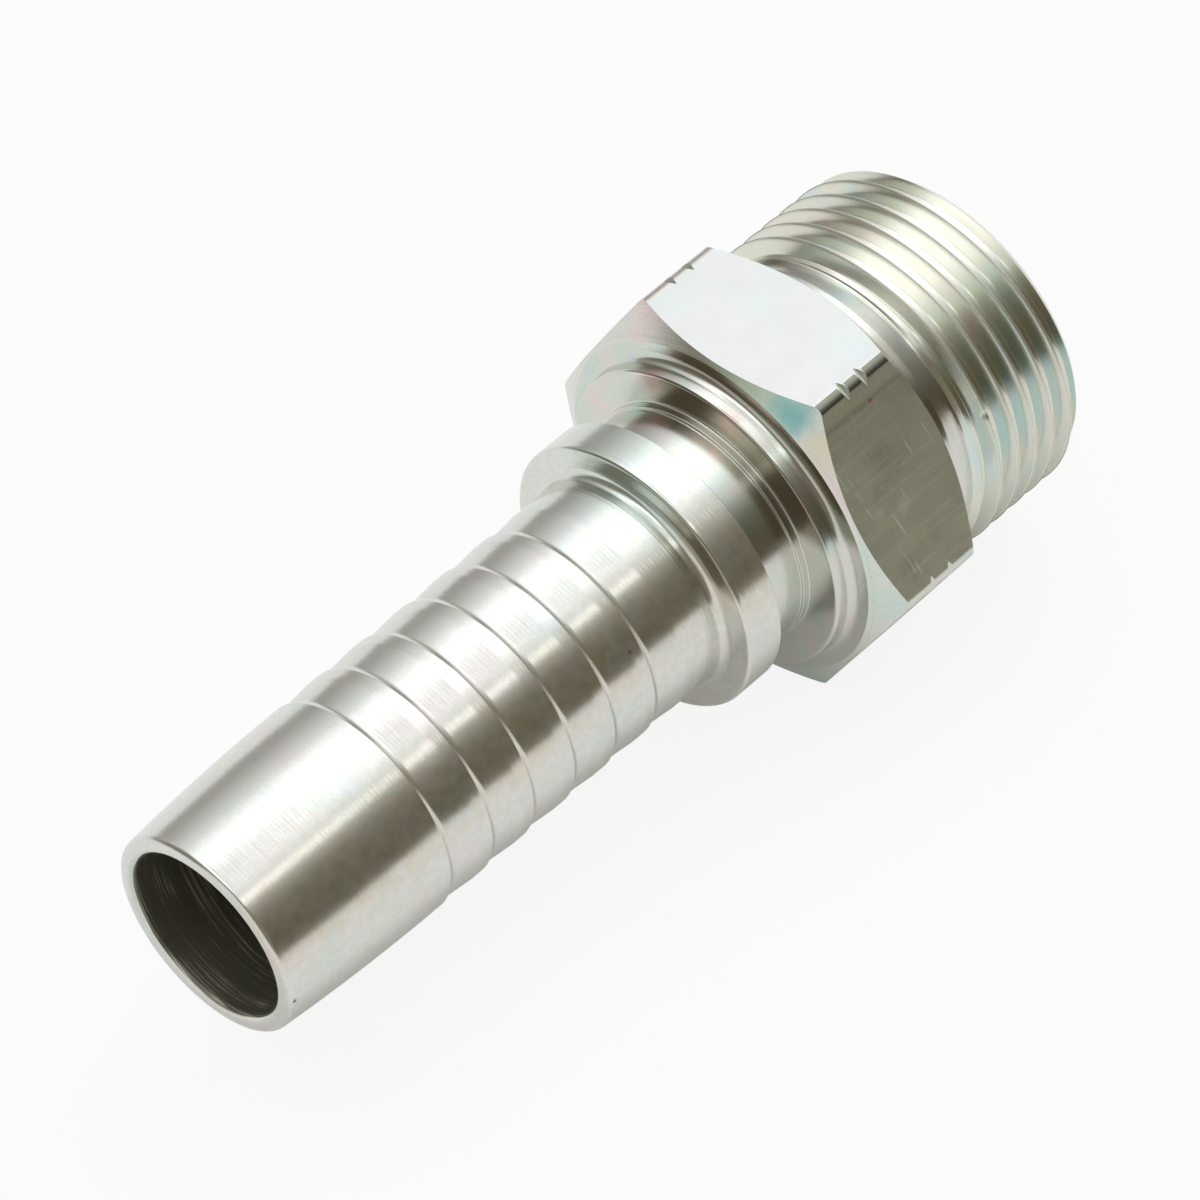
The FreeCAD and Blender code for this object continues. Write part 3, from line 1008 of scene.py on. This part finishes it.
@dataclass(frozen=True)
class DrawnZinc(ZincPlating):
    """Zinc over the drawn flats: satin, stained, with scratches along the bar, and painted shade on
    all but the upper flat.
    """

    name: str = "drawn_zinc"
    tints: Tints = Tints(
        (0.72, 0.73, 0.72), (0.70, 0.74, 0.71), (0.745, 0.71, 0.745), (0.67, 0.73, 0.78)
    )
    film_scale: float = 110.0
    roughness: float = 0.36
    roughness_spread: float = 0.16
    grain_scale: float = 4200.0
    wave_scale: float = 170.0
    grain_depth: float = 2.5e-6
    scratch_depth: float = 5.0e-6
    speck: Colour = (0.36, 0.36, 0.28)
    # olive painted shade over the flats below the upper one
    olive: Colour = (0.56, 0.56, 0.41)
    tan: Colour = (0.76, 0.71, 0.54)
    stain: Colour = (0.40, 0.40, 0.31)
    upper_flat_height: Span = (0.0312, 0.0317)  # above this lies the upper flat, without the painted shade and stains of the others
    edge_height: float = 0.0304  # above this the flats are rubbed
    scuff: Colour = (0.90, 0.90, 0.86)
    marks: tuple[Spot, ...] = (
        Spot((0.02168, -0.01031, 0.03014), 0.00026, (0.50, 0.08, 0.06), 0.9),
        Spot((0.02057, -0.01482, 0.02231), 0.0010, (0.86, 0.86, 0.84), 0.35),
        Spot((0.01805, -0.01444, 0.02297), 0.0008, (0.86, 0.86, 0.84), 0.3),
    )

    def material(self) -> Material:
        """Build the material."""
        paint = Paint(self.name)
        drawn = paint.streaks(3.0, (300.0, 4200.0))
        across = paint.streaks(2.0, (3600.0, 260.0), (0.35, 0.3))
        grain = paint.noise(self.grain_scale, 2.0)
        blot = paint.noise(self.wear_scale, 4.0)
        broad = paint.noise(self.wave_scale, 2.0)
        height = paint.split(paint.place())[2]
        painted_light_and_dirt = 1.0 - height.fade(*self.upper_flat_height)
        stains = blot.fade(0.40, 0.68) * broad.fade(0.38, 0.58)
        rubs = paint.streaks(3.0, (90.0, 1900.0)).fade(0.50, 0.72)
        edge = height.fade(self.edge_height, self.edge_height + 0.0002)
        groove = height.band(self.edge_height - 0.0003, self.edge_height - 0.0001, 0.0001)
        scuffs = across.fade(0.60, 0.70) * blot.fade(0.50, 0.62)
        pits = grain.fade(0.52, 0.70)
        colour = paint.layered(
            paint.film(self.film_scale, self.tints),
            # painted shade makes all flats but the upper one darker and olive; the stains, rubs and
            # scuffs after it are wear
            (painted_light_and_dirt * 0.82, self.olive),
            (painted_light_and_dirt * stains * 0.6, self.stain),
            (painted_light_and_dirt * rubs * 0.45, self.tan),
            (painted_light_and_dirt * edge * 0.45, self.tan),
            (painted_light_and_dirt * groove * 0.45, self.stain),
            (painted_light_and_dirt * scuffs * 0.6, self.scuff),
            ((painted_light_and_dirt * 0.16 + 0.03) * pits, self.speck),
        )
        paint.feed("Base Color", paint.spotted(colour, self.marks))
        paint.feed("Metallic", 1.0 - painted_light_and_dirt * 0.1)
        paint.feed("Roughness", self.roughness + (blot - 0.5) * self.roughness_spread)
        lines = (drawn * 0.7 + across * 0.3) * self.scratch_depth
        paint.bump(lines + grain * self.grain_depth + broad * self.wave_depth)
        return paint.material


@dataclass(frozen=True)
class BoredZinc(ZincPlating):
    """Thin, dull zinc in the bore, with the drill's spiral scratches."""

    name: str = "bored_zinc"
    dull: Colour = (0.15, 0.145, 0.105)
    scratched: Colour = (0.90, 0.87, 0.72)
    patch_scale: float = 170.0
    metallic: float = 0.45
    roughness: float = 0.40

    def material(self) -> Material:
        """Build the material."""
        paint = Paint(self.name)
        swirl = paint.streaks(3.0, (3600.0, 110.0), (0.10, 0.12))
        thin = paint.streaks(3.0, (9000.0, 150.0), (0.04, 0.05))
        patch = paint.noise(self.patch_scale, 2.0)
        streaks = paint.math("MAXIMUM", swirl.fade(0.56, 0.74) * 0.9, thin.fade(0.52, 0.74) * 0.75)
        share = streaks * (0.12 + patch.fade(0.38, 0.62) * 0.75)
        paint.feed("Base Color", paint.blend(share, self.dull, self.scratched))
        paint.feed("Metallic", self.metallic)
        paint.feed("Roughness", self.roughness + (swirl - 0.5) * self.roughness_spread)
        paint.bump(swirl * 1.2e-5 + thin * 4.0e-6)
        return paint.material


# Studio


@dataclass(frozen=True)
class Lamp:
    """A rectangular lamp: where it hangs, what it points at, its sides and how bright it looks."""

    name: str
    place: Triple
    aim: Triple
    sides: Span
    radiance: float

    def hang(self) -> None:
        """Add the lamp to the scene."""
        data = bpy.data.lights.new(self.name, "AREA")
        data.shape = "RECTANGLE"
        data.size, data.size_y = self.sides
        data.energy = self.radiance * math.pi * self.sides[0] * self.sides[1]
        lamp = bpy.data.objects.new(self.name, data)
        bpy.context.scene.collection.objects.link(lamp)
        lamp.location = self.place
        towards = Vector(self.aim) - Vector(self.place)
        lamp.rotation_euler = towards.to_track_quat("-Z", "Y").to_euler()


@dataclass
class Studio:
    """Pale floor, soft light, a dim room and the camera."""

    floor_side: float = 6.0
    floor_front: float = -0.22  # where the floor ends on the dark side of the room
    floor_colour: Colour = (0.94, 0.94, 0.94)
    scuffed_colour: Colour = (0.90, 0.90, 0.89)  # faint clouds in the floor
    floor_glow: float = 0.88  # share of plain white in the floor, as the camera sees it
    mirrored_glow: float = 0.48  # the same, as the metal mirrors it
    shaded_glow: float = 0.14  # the same, close under the fitting
    shade: Span = (0.010, 0.021)  # where the shadow painted into the mirrored floor under the fitting ends, across it
    brightest: float = 1.7
    front_wall: Colour = (0.47, 0.49, 0.48)
    dim_side: Colour = (0.11, 0.095, 0.07)
    rear_wall: Colour = (0.10, 0.095, 0.08)
    skylight: Colour = (0.55, 0.555, 0.56)  # straight overhead, dimmer than round it
    tones: tuple[tuple[float, float, Colour], ...] = (
        (-100, 0.58, (1.0, 0.98, 0.95)),
        (-90, 0.36, (1.0, 0.98, 0.91)),
        (-78, 0.32, (1.0, 0.98, 0.91)),
        (-65, 0.48, (1.0, 0.99, 0.96)),
        (-45, 0.86, (1.0, 1.0, 1.0)),
        (-34, 1.38, (0.97, 1.0, 1.03)),
        (-22, 1.62, (1.0, 1.0, 1.0)),
        (-8, 1.70, (1.0, 1.0, 1.0)),
        (5, 1.60, (1.0, 1.0, 1.0)),
        (16, 1.15, (1.0, 1.0, 0.99)),
        (28, 0.66, (0.98, 1.0, 0.96)),
        (38, 0.38, (0.98, 1.0, 0.90)),
        (50, 0.17, (1.0, 0.96, 0.74)),
        (66, 0.11, (1.0, 0.92, 0.60)),
        (80, 0.098, (1.0, 0.90, 0.56)),
        (120, 0.098, (1.0, 0.90, 0.56)),
    )
    camera_place: Triple = (-0.230419, -0.232038, 0.381476)
    camera_right: Triple = (0.677099, -0.734948, -0.037258)
    camera_up: Triple = (0.564148, 0.485902, 0.667560)
    camera_back: Triple = (-0.472518, -0.473024, 0.743623)
    lens: float = 188.72

    def floor(self) -> None:
        """Lay the pale floor."""
        middle = (0, self.floor_front + self.floor_side / 2, 0)
        bpy.ops.mesh.primitive_plane_add(size=self.floor_side, location=middle)
        floor = bpy.context.object
        floor.name = "floor"
        bpy.ops.object.transform_apply()
        paint = Paint("pale_floor")
        clouds = paint.noise(6.0, 2.0).fade(0.4, 0.6)
        paint.feed("Base Color", paint.blend(clouds, self.floor_colour, self.scuffed_colour))
        paint.feed("Roughness", 0.9)
        paint.feed("Specular IOR Level", 0.0)
        seen = paint.node("LightPath", {}, "Is Camera Ray")
        mirrored = paint.node("LightPath", {}, "Is Glossy Ray")
        # the glow that the metal mirrors is weaker close under the fitting, which paints a shadow
        # into its reflections
        away = paint.math("ABSOLUTE", paint.split(paint.place())[1]).fade(*self.shade)
        mirrored_share = away * (self.mirrored_glow - self.shaded_glow) + self.shaded_glow
        share = seen * self.floor_glow + mirrored * mirrored_share
        glow = paint.node("Emission", {"Color": (1.0, 1.0, 1.0, 1.0)})
        body = Signal(paint, paint.shader.outputs[0])
        mixed = paint.node("MixShader", {0: share, 1: body, 2: glow})
        paint.finish(mixed)
        floor.data.materials.append(paint.material)

    def room(self) -> None:
        """Give the room its tones by direction, and plain white to the camera."""
        world = bpy.data.worlds.new("room")
        bpy.context.scene.world = world
        world.use_nodes = True
        nodes = Nodes(world.node_tree)
        forward, side, up = nodes.split(nodes.node("TexCoord", {}, "Generated"))
        lean = nodes.math("ARCTAN2", side * -1.0, up) / math.tau + 0.5
        stops = [
            (angle / 360 + 0.5, tuple(tone * level / self.brightest for tone in tint))
            for angle, level, tint in self.tones
        ]
        around = nodes.node("ValToRGB", {0: lean}, stops=stops)
        dim = (forward * -1.0).fade(0.0, 0.45) * (1.0 - up.fade(0.62, 0.85))
        ahead = (forward * -1.0).fade(0.84, 0.95)
        behind = forward.fade(0.62, 0.90) * 0.5
        seen = nodes.node("LightPath", {}, "Is Camera Ray")
        shown = nodes.layered(
            around,
            (dim, self.dim_side),
            (ahead, self.front_wall),
            (behind, self.rear_wall),
            (up.fade(0.90, 0.98), self.skylight),
            (seen, (1 / self.brightest,) * 3),
        )
        nodes.finish(nodes.node("Background", {"Color": shown, "Strength": self.brightest}))

    def light(self) -> None:
        """Hang the long strip on the near side, and the weak end of it."""
        lamps = (
            Lamp("strip", (-0.205, -0.48, 0.82), (-0.205, 0.0, 0.016), (1.19, 0.13), 1.0),
            Lamp("strip_end", (0.445, -0.48, 0.82), (0.445, 0.0, 0.016), (0.11, 0.11), 0.40),
        )
        for lamp in lamps:
            lamp.hang()

    def camera(self) -> None:
        """Stand the camera at the viewing angle of the picture."""
        data = bpy.data.cameras.new("camera")
        data.lens = self.lens
        data.clip_start = 0.01
        camera = bpy.data.objects.new("camera", data)
        bpy.context.scene.collection.objects.link(camera)
        turn = Matrix((self.camera_right, self.camera_up, self.camera_back)).transposed()
        camera.matrix_world = Matrix.Translation(self.camera_place) @ turn.to_4x4()
        bpy.context.scene.camera = camera

    def set_up(self) -> None:
        """Build the studio."""
        self.floor()
        self.room()
        self.light()
        self.camera()
        bpy.context.scene.view_settings.view_transform = "Standard"


def main() -> None:
    """Build the fitting and the studio, and log the fitting's triangle count."""
    logging.basicConfig(level=logging.INFO, format="%(message)s")
    fitting = HoseFitting()
    piece = fitting.build()
    finishes = {
        Area.TURNED: TurnedZinc(),
        Area.TAIL: TailZinc(),
        Area.FLAT: DrawnZinc(),
        Area.CHAMFER: ChamferZinc(),
        Area.THREAD: ThreadZinc(),
        Area.CORNER: CornerZinc(),
        Area.BORE: BoredZinc(),
    }
    fitting.dress(piece, {area: zinc.material() for area, zinc in finishes.items()})
    triangles = sum(len(face.vertices) - 2 for face in piece.data.polygons)
    LOG.info("%s: %d triangles", piece.name, triangles)
    Studio().set_up()


if __name__ == "__main__":
    main()
